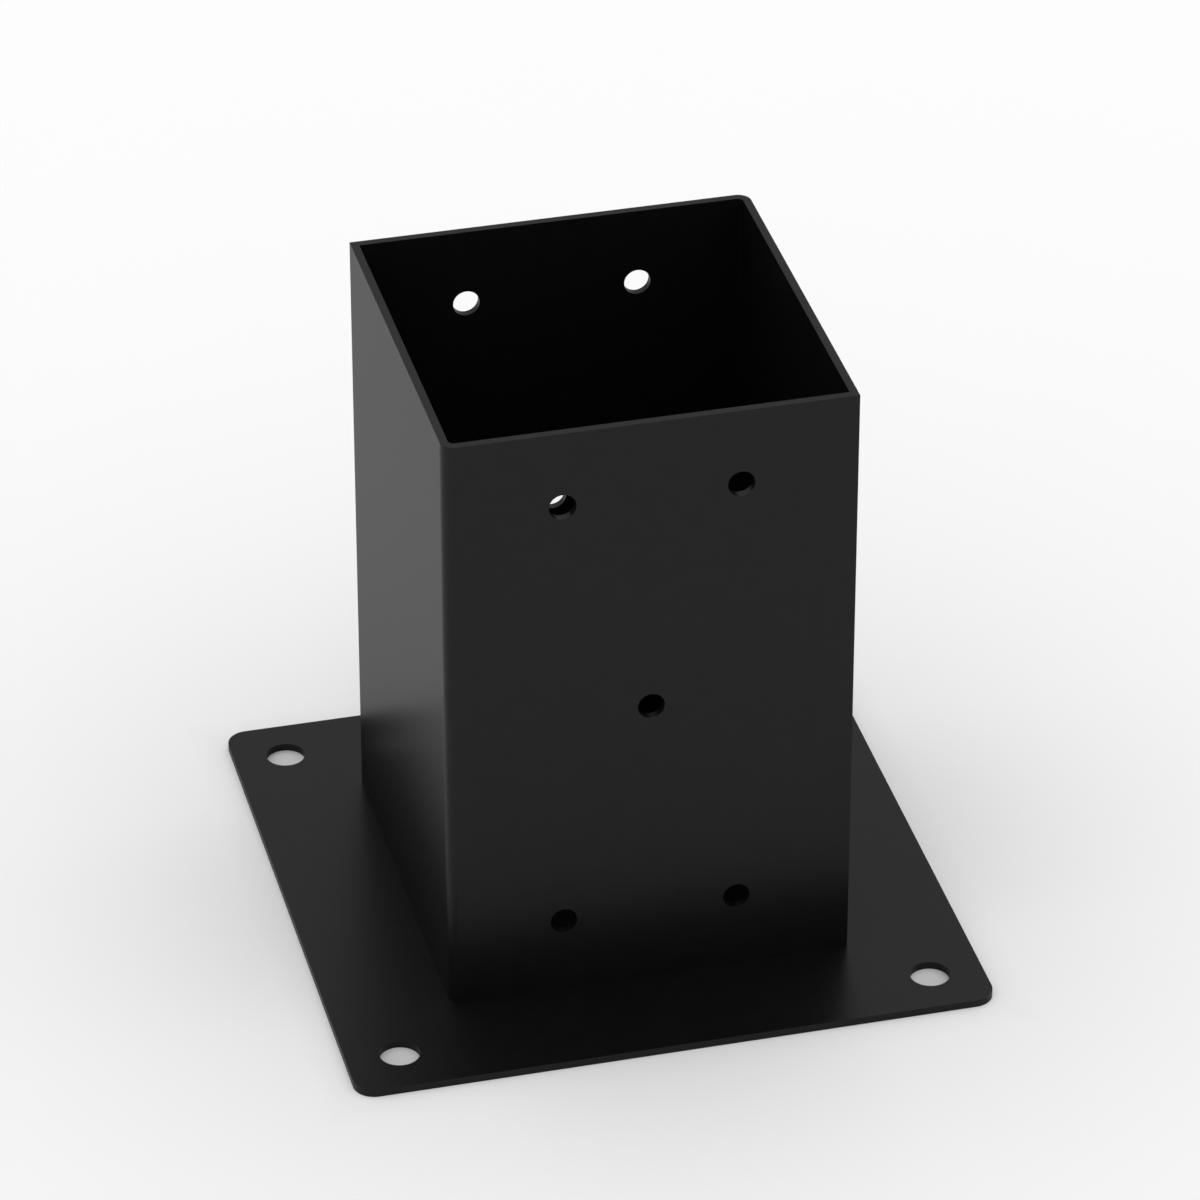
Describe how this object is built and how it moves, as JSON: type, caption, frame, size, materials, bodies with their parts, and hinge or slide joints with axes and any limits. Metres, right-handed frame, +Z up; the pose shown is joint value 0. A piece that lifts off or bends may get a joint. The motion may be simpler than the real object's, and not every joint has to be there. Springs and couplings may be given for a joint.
{
  "type": "post bracket",
  "caption": "Square steel bracket for a timber post: an open-topped sleeve of folded angles on a flat anchor plate, with screw holes through its front and back walls.",
  "frame": {"origin": "centre of the base plate's underside, which is the middle of the square sleeve too", "axes": "+Z up along the post, -Y the front: the front and back walls carry the screw holes, and the sleeve is folded at its front left and back right corners"},
  "size_m": [0.24, 0.24, 0.24],
  "materials": {
    "black_powder_coat": "fine-grained satin black powder coat on steel"
  },
  "bodies": {
    "root": {"base_plate": "black_powder_coat", "front_left_angle": "black_powder_coat", "back_right_angle": "black_powder_coat", "back_left_seam_weld": "black_powder_coat", "front_right_seam_weld": "black_powder_coat", "front_foot_weld": "black_powder_coat", "right_foot_weld": "black_powder_coat", "back_foot_weld": "black_powder_coat", "left_foot_weld": "black_powder_coat"}
  },
  "joints": []
}
